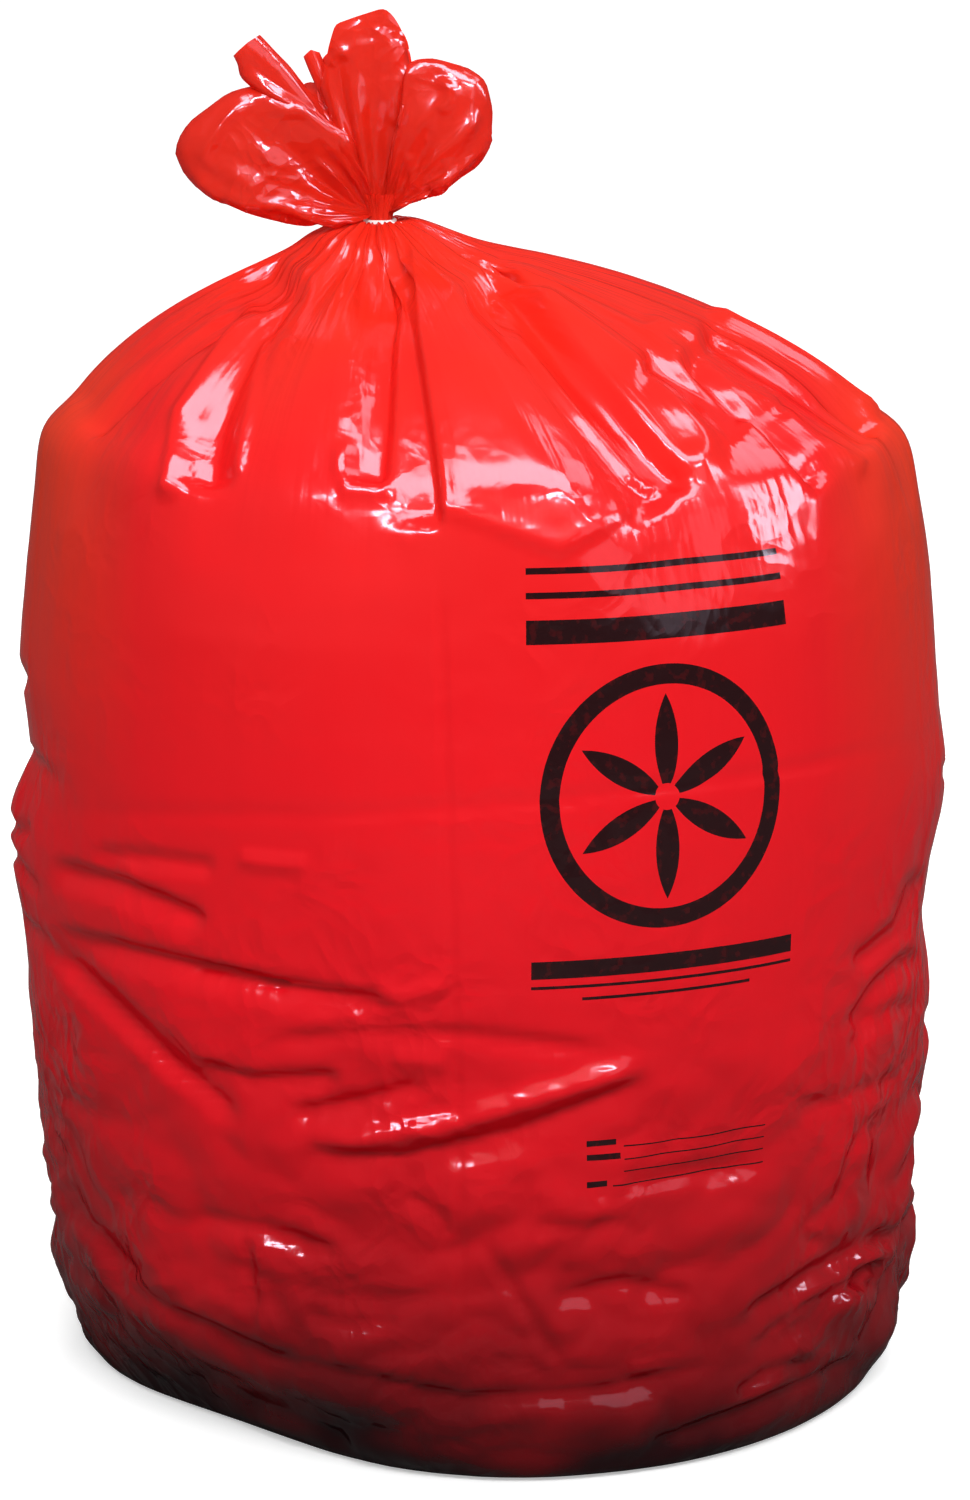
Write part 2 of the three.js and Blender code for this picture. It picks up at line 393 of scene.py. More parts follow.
def soften(piece, low, high, times, reach):
    """Rounds off the front of the film between two heights, and as far as its reach to either side."""
    bm = bmesh.new()
    bm.from_mesh(piece.data)
    band = [v for v in bm.verts
            if low < v.co.z < high and abs(v.co.x) < reach and (v.co - NECK).length > 0.05]
    for _ in range(times):
        bmesh.ops.smooth_vert(
            bm, verts=band, factor=0.5, use_axis_x=True, use_axis_y=True, use_axis_z=True)
    bm.to_mesh(piece.data)
    bm.free()


def subdivide_once(piece):
    """A finer mesh of the same piece, with its film map kept."""
    fine = piece.modifiers.new("fine", "SUBSURF")
    fine.levels = fine.render_levels = 1
    fine.use_limit_surface = False
    old = piece.data
    depsgraph = bpy.context.evaluated_depsgraph_get()
    piece.data = bpy.data.meshes.new_from_object(piece.evaluated_get(depsgraph))
    piece.modifiers.remove(fine)
    bpy.data.meshes.remove(old)


# Folds of the front, as paths in pixels of the photograph's frame, then depth in metres, and the
# widths of the left and right sides in pixels. A path runs from its upper end to its lower one.
FRONT_PLEATS = [
    ([(300, 250), (200, 305), (120, 362), (70, 410)], 0.004, 12, 30),
    ([(294, 266), (215, 322), (140, 385), (85, 440)], 0.006, 10, 34),
    ([(300, 262), (250, 340), (216, 420), (204, 494)], 0.012, 30, 52),
    ([(392, 240), (380, 330), (378, 420), (374, 489)], 0.010, 14, 40),
    ([(400, 228), (410, 330), (425, 430), (437, 532)], 0.009, 8, 60),
    ([(486, 258), (574, 362), (642, 440), (692, 492)], 0.014, 14, 90),
    ([(640, 360), (700, 385), (750, 420)], 0.006, 12, 34),
    ([(680, 350), (770, 425), (824, 488)], 0.008, 34, 9),
    ([(700, 325), (800, 385), (884, 434)], 0.008, 9, 34),
]

FRONT_PLEAT_EDGES = [
    ([(255, 285), (205, 368), (178, 412), (164, 502)], 0.005, 20, 9),
    ([(300, 255), (262, 312), (246, 420), (236, 480)], 0.003, 8, 40),
    ([(345, 440), (340, 466), (348, 489), (394, 489)], 0.003, 14, 10),
    ([(486, 268), (560, 372), (604, 424), (640, 470), (688, 498)], 0.005, 60, 8),
    ([(528, 288), (604, 340), (662, 386), (704, 440), (700, 484)], 0.004, 26, 20),
    ([(640, 322), (690, 335), (735, 382), (786, 408)], 0.004, 24, 9),
    ([(780, 404), (812, 440), (868, 469)], 0.004, 10, 18),
    ([(704, 308), (790, 352), (882, 416)], 0.005, 44, 7),
    ([(420, 500), (470, 516), (560, 548), (640, 505)], 0.002, 16, 9),
]

CREASE_STRENGTH = 1.2
FRONT_CREASES = [
    ([(30, 806), (110, 814), (350, 816), (560, 801), (640, 790), (780, 771), (940, 738)], 0.0009, 7, 5),
    ([(437, 532), (446, 800), (456, 1100), (463, 1390)], 0.0010, 8, 6),
    ([(85, 853), (150, 858), (220, 868)], 0.003, 9, 14),
    ([(48, 864), (120, 884), (212, 924)], 0.006, 9, 24),
    ([(40, 928), (150, 956), (262, 984), (405, 1006)], 0.006, 8, 26),
    ([(180, 966), (230, 974), (290, 990)], 0.004, 5, 10),
    ([(42, 944), (110, 1012), (162, 1062), (244, 1128)], 0.007, 26, 10),
    ([(190, 1064), (250, 1082), (345, 1078)], 0.005, 10, 16),
    ([(250, 1044), (350, 1034), (470, 1036), (620, 1052)], 0.003, 10, 16),
    ([(285, 1116), (360, 1102), (430, 1084)], 0.005, 10, 16),
    ([(300, 1152), (400, 1160), (520, 1132), (660, 1078)], 0.006, 10, 30),
    ([(185, 1214), (262, 1228), (352, 1258)], 0.004, 8, 18),
    ([(400, 1196), (430, 1212), (452, 1240)], 0.003, 16, 14),
    ([(480, 1240), (530, 1318), (562, 1372)], 0.0025, 14, 8),
    ([(530, 1226), (590, 1232), (640, 1222)], 0.003, 12, 16),
    ([(545, 1300), (620, 1284), (700, 1296)], 0.003, 10, 14),
    ([(244, 1236), (252, 1290), (250, 1340)], 0.003, 8, 12),
    ([(300, 1310), (340, 1326), (400, 1322)], 0.003, 10, 14),
    ([(926, 868), (905, 930), (852, 972)], 0.005, 12, 18),
    ([(920, 950), (882, 986), (852, 1032)], 0.005, 14, 12),
    ([(914, 1000), (872, 1022), (852, 1054)], 0.003, 10, 10),
    ([(905, 1075), (850, 1100), (790, 1112)], 0.003, 12, 14),
    ([(760, 1168), (700, 1172), (620, 1190)], 0.003, 12, 16),
    ([(904, 1226), (822, 1268), (742, 1322)], 0.005, 16, 10),
    ([(896, 1262), (820, 1300), (760, 1340)], 0.003, 10, 8),
    ([(60, 1176), (82, 1222), (140, 1284)], 0.004, 14, 10),
    ([(120, 1288), (271, 1358), (462, 1400), (600, 1391), (745, 1357)], 0.004, 7, 20),
    ([(742, 1358), (800, 1330), (900, 1256)], 0.004, 18, 8),
    ([(180, 1372), (262, 1412), (360, 1450)], 0.004, 26, 8),
    ([(640, 1452), (760, 1408), (880, 1350)], 0.005, 10, 22),
    ([(735, 1398), (770, 1372), (812, 1362)], 0.004, 8, 14),
]

FRONT_RIDGES = [
    ([(296, 1134), (350, 1142), (450, 1124), (560, 1090), (655, 1060)], 0.0065, 14, 16),
    ([(370, 990), (400, 998), (450, 984)], 0.003, 7, 8),
    ([(390, 1058), (430, 1062), (450, 1064)], 0.003, 8, 8),
    ([(235, 856), (262, 862), (310, 866)], 0.003, 7, 10),
]

# Crisp ridges of the free end, written in the same way.
TAIL_RIDGES = [
    ([(236, 62), (262, 84), (300, 110), (340, 138), (362, 162)], 0.0036, 6, 6),
    ([(255, 92), (285, 112), (310, 116)], 0.0020, 6, 6),
    ([(404, 68), (398, 92), (392, 128)], 0.0030, 8, 6),
    ([(352, 52), (338, 56), (330, 66)], 0.0018, 6, 6),
    ([(436, 78), (452, 90), (450, 104), (438, 114)], 0.0028, 6, 6),
    ([(484, 112), (470, 126), (454, 142), (426, 168), (408, 192)], 0.0034, 7, 7),
    ([(246, 102), (224, 124), (208, 150), (202, 166)], 0.0028, 8, 7),
    ([(190, 168), (214, 190), (250, 204), (300, 208)], 0.0024, 7, 7),
    ([(310, 156), (336, 176), (352, 200), (368, 212)], 0.0024, 6, 6),
    ([(262, 172), (300, 184), (340, 206)], 0.0022, 6, 6),
    ([(400, 206), (412, 182), (410, 152)], 0.0022, 5, 6),
    ([(430, 196), (448, 176), (452, 158)], 0.0020, 6, 6),
]


def press_front(piece):
    """Presses the photograph's folds into the film that faces the camera."""
    mesh = piece.data
    places, out = coordinates(mesh), normals(mesh)
    pixels = seen_at(places)
    eye = np.array(CAMERA_AIM + CAMERA_BACK * CAMERA_DISTANCE)
    towards = eye - places
    towards /= np.linalg.norm(towards, axis=1, keepdims=True)
    facing = smoothstep(np.sum(out * towards, axis=1), 0.02, 0.22)
    floor = smoothstep(places[:, 2], 0.001, 0.012)
    neck = smoothstep(np.linalg.norm(places - np.array(NECK), axis=1), 0.015, 0.09)
    depth = np.zeros(len(places))
    for path, deep, left, right in FRONT_PLEATS:
        depth += fold(pixels, path, deep, left, right, (0.10, 0.08))
    for path, high, left, right in FRONT_PLEAT_EDGES:
        depth -= fold(pixels, path, high, left, right, (0.10, 0.08))
    for path, deep, left, right in FRONT_CREASES:
        depth += fold(pixels, path, deep * CREASE_STRENGTH, left, right)
    for path, high, left, right in FRONT_RIDGES:
        depth -= fold(pixels, path, high, left, right)
    move_to(mesh, places - out * (depth * facing * floor * neck)[:, None])


def crumple(piece):
    """Soft dents of the loose waste inside, and folds where the film is slack."""
    mesh = piece.data
    places, out = coordinates(mesh), normals(mesh)
    height = places[:, 2]
    slack = smoothstep(-height, -0.27, -0.13)
    full = 0.0025 * slack
    fixed = smoothstep(height, 0.0005, 0.02)
    bent = places + ripples(places, (0.08,) * 3, 9)[:, None] * 0.02
    low = ripples(places, (0.09, 0.09, 0.05), 1) * 0.0048 * slack
    dents = creased(bent, (0.060, 0.060, 0.035), 2) * -0.0040 * slack
    small = creased(bent, (0.030, 0.030, 0.018), 5) * -0.0016 * slack
    taut = ripples(places, (0.12, 0.12, 0.16), 3) * 0.0015
    move_to(mesh, places + out * ((full + low + dents + small + taut) * fixed)[:, None])


def crease_back(piece):
    """Slanting creases over the sides and back, like those that the photograph shows at the front."""
    places, out = coordinates(piece.data), normals(piece.data)
    angle = np.degrees(np.arctan2(places[:, 0], -places[:, 1])) % 360
    unrolled = np.column_stack([np.radians(angle) * TUBE_RADIUS, -places[:, 2]]) / PIXEL_SIZE
    rng = np.random.default_rng(11)
    depth = np.zeros(len(places))
    for _ in range(BACK_CREASES):
        turn, height = rng.uniform(66, 288), rng.uniform(0.04, 0.38)
        length, rise = rng.uniform(14, 38), rng.uniform(-0.045, 0.045)
        bow = rng.uniform(-0.012, 0.012)
        middle = (turn + length / 2, height + rise / 2 + bow)
        path = [(turn, height), middle, (turn + length, height + rise)]
        path = [(math.radians(a) * TUBE_RADIUS / PIXEL_SIZE, -h / PIXEL_SIZE) for a, h in path]
        depth += fold(unrolled, path, rng.uniform(0.002, 0.006), rng.uniform(7, 24), rng.uniform(7, 24))
    fixed = smoothstep(places[:, 2], 0.002, 0.02)
    fixed *= smoothstep(angle, 60, 74) * smoothstep(-angle, -300, -286)
    move_to(piece.data, places - out * (depth * fixed)[:, None])


def tuck_corner(piece):
    """The bottom corner at the left of the front, pulled in under the bag."""
    places = coordinates(piece.data)
    angle = np.degrees(np.arctan2(places[:, 0], -places[:, 1]))
    radius = np.hypot(places[:, 0], places[:, 1])
    depth = CORNER_PULL * bump(turn_between(angle, CORNER_ANGLE), CORNER_SPREAD)
    depth *= 1 - smoothstep(places[:, 2], 0.0, CORNER_HEIGHT)
    depth *= np.clip(radius / TUBE_RADIUS, 0, 1) ** 3
    places[:, :2] *= (1 - depth / np.maximum(radius, 0.01))[:, None]
    move_to(piece.data, places)


# The free end above the tie

# Each lobe is a double layer of film that fans out from the gather. A lobe is the place of its
# gathered end and the outline of its outer edge, in pixels of the photograph's frame, then how soon it
# widens (1 is a straight fan, less is a tube), how much it swells half way, its thickness, how far it
# bulges and leans towards the front, how far it is turned round the tie and rolled about its own
# length, in degrees, and whether its end is open. The last four lobes are at the back, where the
# photograph shows nothing.
LEFT_EDGE = [(350, 148), (300, 104), (253, 90), (225, 100), (200, 120), (181, 139), (174, 152),
             (179, 168), (194, 188), (215, 205), (245, 218), (282, 226), (334, 230)]
TUBE_END = [(261, 44), (250, 52), (237, 63)]
SLIVER_END = [(304, 53), (310, 47), (317, 50)]
PETAL_EDGE = [(322, 86), (326, 60), (334, 24), (360, 15), (386, 7), (396, 20), (406, 37), (411, 64),
              (410, 92)]
RIGHT_EDGE = [(404, 100), (411, 65), (430, 62), (448, 64), (470, 71), (484, 82), (494, 104),
              (494, 130), (491, 158), (470, 177), (445, 192), (412, 204)]
BACK_EDGE = [(398, 120), (420, 84), (455, 78), (492, 96), (508, 126), (500, 156), (468, 180),
             (424, 200)]
BACK_UPRIGHT = [(384, 84), (392, 52), (420, 42), (448, 60), (452, 96), (440, 130)]
LOBES = [
    ((372, 212), LEFT_EDGE, 0.85, 0.0, 0.010, 0.018, 0.016, 0, 0, False),
    ((374, 206), TUBE_END, 0.50, 0.7, 0.010, 0.008, 0.026, 0, 0, True),
    ((377, 206), SLIVER_END, 0.50, 0.2, 0.003, 0.0, -0.012, 0, 0, True),
    ((377, 208), PETAL_EDGE, 0.65, 0.0, 0.005, 0.004, -0.004, 0, 0, True),
    ((386, 210), RIGHT_EDGE, 0.85, 0.0, 0.009, 0.014, 0.012, 0, 0, False),
    ((382, 212), BACK_UPRIGHT, 0.70, 0.1, 0.006, 0.0, 0.0, 150, 30, True),
    ((382, 214), BACK_EDGE, 0.80, 0.0, 0.009, 0.004, 0.0, 132, -60, False),
    ((382, 214), BACK_EDGE, 0.80, 0.0, 0.009, 0.004, 0.0, 84, -50, False),
    ((382, 214), BACK_EDGE, 0.80, 0.0, 0.008, 0.004, 0.0, 40, -35, False),
]
LOBE_AROUND = 64
LOBE_ALONG = 28
RIM_STEPS = 80
LOBE_PLEATS = 9
LOBE_PLEAT_DEPTH = 0.0035


def from_pixels(points):
    """Places in the upright plane through the neck that the camera sees at pixels of the frame."""
    scale = FRAME_HIGH * LENS / SENSOR
    eye = CAMERA_AIM + CAMERA_BACK * CAMERA_DISTANCE
    up = Vector((1, 0, 0)).cross(-CAMERA_BACK)
    found = []
    for x, y in points:
        ray = -CAMERA_BACK * scale + Vector((x - AIM_PIXEL[0], 0, 0)) + up * (AIM_PIXEL[1] - y)
        found.append(eye + ray * ((NECK.y - eye.y) / ray.y))
    return np.array(found)


def lobe_places(side, out, along, lobe, seed):
    """Where a lobe's points lie. Side runs from -1 to 1 over its breadth, out from -1 at its back
    layer to 1 at its front one, and along from 0 at the gather to 1 at its outer edge."""
    gather, edge, widening, belly, thick, bulge, lean, turn, roll, is_open = lobe
    root = from_pixels([gather])[0]
    rim = evenly(from_pixels(edge), RIM_STEPS) - root
    across = (1 + side) / 2
    tip = np.column_stack([np.interp(across, np.linspace(0, 1, RIM_STEPS), axis) for axis in rim.T])
    middle = rim.mean(axis=0)
    t = along[:, None]
    places = middle * t + (tip - middle) * t**widening * (1 + belly * np.sin(math.pi * t))

    ends = (1 - 0.5 * along) if is_open else np.sqrt(np.clip(1 - along**8, 0, 1))
    depth = out * thick * along**0.7 * ends
    depth += bulge * np.sin(math.pi * along * 0.9) * (1 - 0.5 * side**2) + lean * along
    breadth = np.linalg.norm(rim[-1] - rim[0])
    waves = np.column_stack([across * LOBE_PLEATS * breadth / 0.09, along * 0.8,
                             np.full(len(along), seed * 5.3)])
    pleat = creased(waves, (1.0, 1.0, 1.0), seed) - 0.4
    depth += pleat * LOBE_PLEAT_DEPTH * np.sin(math.pi * np.clip(along, 0, 1) ** 0.6)
    places[:, 1] -= depth
    places[:, 2] += depth * math.tan(CAMERA_ELEVATION)

    places = places @ np.array(Matrix.Rotation(math.radians(roll), 3, Vector(middle))).T
    places = places @ np.array(Matrix.Rotation(math.radians(turn), 3, "Z")).T
    return places + root


def film_tail():
    """The free end of the film: a gathered bunch of lobes, each a double layer."""
    bm = bmesh.new()
    film = bm.loops.layers.uv.new("film")
    for number, lobe in enumerate(LOBES):
        made = bmesh.ops.create_grid(
            bm, x_segments=LOBE_AROUND, y_segments=LOBE_ALONG, size=0.5, calc_uvs=True)
        verts = made["verts"]
        flat = np.array([v.co for v in verts])
        turn = (flat[:, 0] + 0.5) * 2 * math.pi
        side, out, along = np.cos(turn), np.sin(turn), flat[:, 1] + 0.5
        for v, place in zip(verts, lobe_places(side, out, along, lobe, number)):
            v.co = place
    bmesh.ops.remove_doubles(bm, verts=bm.verts, dist=2e-5)
    bmesh.ops.recalc_face_normals(bm, faces=bm.faces)
    for face in bm.faces:
        for loop in face.loops:
            loop[film].uv = (loop.vert.co.x, loop.vert.co.z)
    return link("bag_tail", bm)


def crease_tail(piece):
    """Crisp creases that run out from the gather into the lobes."""
    mesh = piece.data
    places, out = coordinates(mesh), normals(mesh)
    away = places - np.array(NECK)
    reach = np.linalg.norm(away, axis=1)
    way = away / reach[:, None]
    far = smoothstep(reach, 0.05, 0.12)
    bent_way = way + ripples(places, (0.05,) * 3, 31)[:, None] * 0.06
    long_folds = creased(bent_way, (0.22,) * 3, 30)
    cross_folds = creased(places, (0.030,) * 3, 32)
    pixels = seen_at(places)
    ridges = sum(fold(pixels, path, high, left, right) for path, high, left, right in TAIL_RIDGES)
    ridges *= smoothstep(-out[:, 1], 0.05, 0.35)
    depth = (cross_folds - 0.5) * 0.0016 * (0.5 + far)
    depth += ridges + (long_folds - 0.5) * 0.0034 * (1 - 0.6 * far)
    move_to(mesh, places + out * (depth * smoothstep(reach, 0.012, 0.035))[:, None])


# Finishes

# The print, in metres on the film's own map: across from the front's middle, and up along the film.
EMBLEM_CENTRE, EMBLEM_RADIUS = (0.0965, 0.5745), 0.0665
PRINT_BARS = [
    (0.024, 0.171, 0.6890, 0.0032),
    (0.024, 0.171, 0.6770, 0.0032),
    (0.024, 0.171, 0.6590, 0.0120),
    (0.026, 0.171, 0.4905, 0.0090),
    (0.026, 0.171, 0.4815, 0.0016),
    (0.052, 0.145, 0.4750, 0.0016),
    (0.076, 0.160, 0.3955, 0.0007),
    (0.076, 0.160, 0.3890, 0.0007),
    (0.076, 0.160, 0.3825, 0.0007),
    (0.070, 0.160, 0.3755, 0.0007),
    (0.056, 0.072, 0.3980, 0.0030),
    (0.056, 0.074, 0.3910, 0.0030),
    (0.056, 0.067, 0.3770, 0.0030),
]

# The film's colour by height, in metres, with up to 0.14 added in patches: painted shade makes it deep
# red, down to near black, at the foot, and painted light makes it a little orange at the top.
FILM_TONES_AND_PAINTED_SHADE = [
    (0.070, (0.016, 0.001, 0.002)),
    (0.105, (0.11, 0.002, 0.004)),
    (0.15, (0.29, 0.003, 0.007)),
    (0.23, (0.54, 0.004, 0.010)),
    (0.33, (0.72, 0.005, 0.012)),
    (0.44, (0.79, 0.007, 0.013)),
    (0.58, (0.80, 0.012, 0.013)),
    (0.70, (0.82, 0.028, 0.012)),
]
PAINTED_SHADE_PATCHES = 0.14
# Painted light: orange laid over the film's colour at its sides high up, where light comes through the
# film.
PAINTED_GLOW_COLOUR = (0.85, 0.125, 0.012, 1)
PAINTED_GLOW_SHARE = 0.42
LIT_FROM_BEHIND = (1.0, 0.035, 0.015, 1)
LIGHT_PASSED = 0.30
INK_COLOUR = (0.012, 0.003, 0.004, 1)
CRINKLE_SIZES = (1.0, 2.3)
CRINKLES_PER_METRE = 45.0
RELIEF_HEIGHT = 0.004


def node(tree, kind, values=(), **settings):
    made = tree.nodes.new(kind)
    for name, value in settings.items():
        setattr(made, name, value)
    for name, value in dict(values).items():
        if isinstance(value, bpy.types.NodeSocket):
            tree.links.new(value, made.inputs[name])
        else:
            made.inputs[name].default_value = value
    return made


def math_node(tree, operation, a, b=None, c=None):
    made = tree.nodes.new("ShaderNodeMath")
    made.operation = operation
    for i, value in enumerate((a, b, c)):
        if value is None:
            continue
        if isinstance(value, bpy.types.NodeSocket):
            tree.links.new(value, made.inputs[i])
        else:
            made.inputs[i].default_value = value
    return made.outputs[0]


def ranged(tree, value, low, high, to_low=0.0, to_high=1.0):
    """A value taken from one range to another, and kept inside it."""
    made = node(tree, "ShaderNodeMapRange", {"Value": value, "From Min": low, "From Max": high,
                                             "To Min": to_low, "To Max": to_high}, clamp=True)
    return made.outputs["Result"]


def mixed(tree, share, below, above):
    """One colour laid over another."""
    made = node(tree, "ShaderNodeMix", data_type="RGBA")
    tree.links.new(share, made.inputs["Factor"])
    tree.links.new(below, made.inputs[6])
    made.inputs[7].default_value = above
    return made.outputs[2]


def open_group(name, gives, kind):
    """A shared effect that follows a place: its tree, the place, and the socket that it ends in."""
    tree = bpy.data.node_groups.new(name, "ShaderNodeTree")
    tree.interface.new_socket(name="Place", in_out="INPUT", socket_type="NodeSocketVector")
    tree.interface.new_socket(name=gives, in_out="OUTPUT", socket_type=kind)
    inside, outside = tree.nodes.new("NodeGroupInput"), tree.nodes.new("NodeGroupOutput")
    return tree, inside.outputs["Place"], outside.inputs[gives]


def shared(tree, name, make, place):
    """What a shared effect gives at a place. It is made when it is first needed."""
    made = tree.nodes.new("ShaderNodeGroup")
    made.node_tree = bpy.data.node_groups.get(name) or make()
    tree.links.new(place, made.inputs["Place"])
    return made.outputs[0]


def tone_and_painted_shade_group():
    """Colour: the film's red with painted shade and painted light, bright near the top and deep red
    below, with painted orange where light comes through the shoulder's ends."""
    tree, place, end = open_group("film_tone_and_painted_shade", "Color", "NodeSocketColor")
    split = node(tree, "ShaderNodeSeparateXYZ", {"Vector": place})
    across, height = split.outputs["X"], split.outputs["Z"]
    patches = node(tree, "ShaderNodeTexNoise", {"Vector": place, "Scale": 9.0, "Detail": 3.0})
    lifted = math_node(tree, "MULTIPLY_ADD", patches.outputs["Fac"], PAINTED_SHADE_PATCHES, height)
    # Painted shade and light: the ramp darkens the film towards the foot and turns it a little orange
    # at the top.
    ramp = node(tree, "ShaderNodeValToRGB", {"Fac": lifted})
    elements = ramp.color_ramp.elements
    for element, (position, tone) in zip(elements, (FILM_TONES_AND_PAINTED_SHADE[0], FILM_TONES_AND_PAINTED_SHADE[-1])):
        element.position, element.color = position, (*tone, 1)
    for position, tone in FILM_TONES_AND_PAINTED_SHADE[1:-1]:
        elements.new(position).color = (*tone, 1)
    # Painted light: orange at the sides, high up.
    at_side = ranged(tree, math_node(tree, "ABSOLUTE", across), 0.17, 0.26)
    high_up = ranged(tree, height, 0.32, 0.50)
    glow = math_node(tree, "MULTIPLY", at_side, high_up)
    share = math_node(tree, "MULTIPLY", glow, PAINTED_GLOW_SHARE)
    tree.links.new(mixed(tree, share, ramp.outputs["Color"], PAINTED_GLOW_COLOUR), end)
    return tree


def smear_group():
    """Roughness: glossy film with dull smears."""
    tree, place, end = open_group("film_smears", "Roughness", "NodeSocketFloat")
    smears = node(tree, "ShaderNodeTexNoise", {"Vector": place, "Scale": 30.0, "Detail": 2.0})
    tree.links.new(ranged(tree, smears.outputs["Fac"], 0.0, 1.0, 0.08, 0.22), end)
    return tree


def crinkle_group():
    """Fine crinkles of thin film, as a height: sharp crossing creases of two sizes, stronger in some
    areas than in others."""
    tree, place, end = open_group("film_crinkle", "Height", "NodeSocketFloat")
    warp = node(tree, "ShaderNodeTexNoise", {"Vector": place, "Scale": 22.0, "Detail": 1.0},
                noise_dimensions="2D")
    push = node(tree, "ShaderNodeVectorMath", operation="SCALE")
    tree.links.new(warp.outputs["Color"], push.inputs[0])
    push.inputs["Scale"].default_value = 0.03
    bent = node(tree, "ShaderNodeVectorMath", operation="ADD")
    tree.links.new(place, bent.inputs[0])
    tree.links.new(push.outputs[0], bent.inputs[1])
    heights = []
    for times in CRINKLE_SIZES:
        values = {"Vector": bent.outputs[0], "Scale": CRINKLES_PER_METRE * times}
        cells = node(tree, "ShaderNodeTexVoronoi", values, voronoi_dimensions="2D", feature="F1",
                     distance="EUCLIDEAN")
        heights.append(math_node(tree, "MULTIPLY", cells.outputs["Distance"], 1.0 / times))
    areas = node(tree, "ShaderNodeTexNoise", {"Vector": place, "Scale": 11.0, "Detail": 1.0},
                 noise_dimensions="2D")
    area = ranged(tree, areas.outputs["Fac"], 0.42, 0.62, 0.25, 1.0)
    tree.links.new(math_node(tree, "MULTIPLY", math_node(tree, "ADD", *heights), area), end)
    return tree


def bar_mask(tree, u, v, left, right, middle, thick):
    """1 inside a level bar of the print."""
    in_u = math_node(tree, "COMPARE", u, (left + right) / 2, (right - left) / 2)
    in_v = math_node(tree, "COMPARE", v, middle, thick / 2)
    return math_node(tree, "MULTIPLY", in_u, in_v)


def length_of(tree, x, y):
    squares = [math_node(tree, "POWER", side, 2.0) for side in (x, y)]
    return math_node(tree, "SQRT", math_node(tree, "ADD", *squares))


def emblem_mask(tree, u, v):
    """1 inside a six-petalled rosette in a ring, drawn with a pair of compasses."""
    x = math_node(tree, "SUBTRACT", u, EMBLEM_CENTRE[0])
    y = math_node(tree, "SUBTRACT", v, EMBLEM_CENTRE[1])
    angle = math_node(tree, "ARCTAN2", x, y)
    turned = math_node(tree, "PINGPONG", math_node(tree, "ADD", angle, math.pi * 2), math.pi / 6)
    reach = length_of(tree, x, y)
    arc = EMBLEM_RADIUS * 0.80
    along = math_node(tree, "MULTIPLY", reach, math_node(tree, "COSINE", turned))
    aside = math_node(tree, "MULTIPLY", reach, math_node(tree, "SINE", turned))
    dx = math_node(tree, "SUBTRACT", along, arc / 2)
    dy = math_node(tree, "ADD", aside, arc * math.sqrt(3) / 2)
    petal = math_node(tree, "LESS_THAN", length_of(tree, dx, dy), arc * 0.985)
    hub = math_node(tree, "GREATER_THAN", reach, EMBLEM_RADIUS * 0.10)
    ring = math_node(tree, "COMPARE", reach, EMBLEM_RADIUS * 0.92, EMBLEM_RADIUS * 0.075)
    return math_node(tree, "MAXIMUM", math_node(tree, "MULTIPLY", petal, hub), ring)


def ink_mask(tree, film):
    """Where the print lies, a little worn."""
    split = node(tree, "ShaderNodeSeparateXYZ", {"Vector": film})
    u, v = split.outputs["X"], split.outputs["Y"]
    total = emblem_mask(tree, u, v)
    for bar in PRINT_BARS:
        total = math_node(tree, "MAXIMUM", total, bar_mask(tree, u, v, *bar))
    worn = node(tree, "ShaderNodeTexNoise", {"Vector": film, "Scale": 160.0, "Detail": 2.0},
                noise_dimensions="2D")
    kept = ranged(tree, worn.outputs["Fac"], 0.30, 0.45, 0.955, 0.992)
    return math_node(tree, "MULTIPLY", total, kept)


def drawn_up(tree, place, film, crinkles):
    """The filled body's relief: its crinkles fade up the wall, and fine lines run up its slope."""
    height = node(tree, "ShaderNodeSeparateXYZ", {"Vector": place}).outputs["Z"]
    long_way = node(tree, "ShaderNodeMapping", {"Vector": film, "Scale": (46.0, 3.2, 1.0)})
    streaks = node(tree, "ShaderNodeTexNoise", {"Vector": long_way.outputs["Vector"], "Scale": 1.0,
                                                "Detail": 3.0}, noise_dimensions="2D")
    on_slope = ranged(tree, height, 0.46, 0.56, 0.25, 0.9)
    below = ranged(tree, height, 0.24, 0.36, 1.0, 0.30)
    lines = math_node(tree, "MULTIPLY", streaks.outputs["Fac"], on_slope)
    return math_node(tree, "ADD", math_node(tree, "MULTIPLY", crinkles, below), lines)


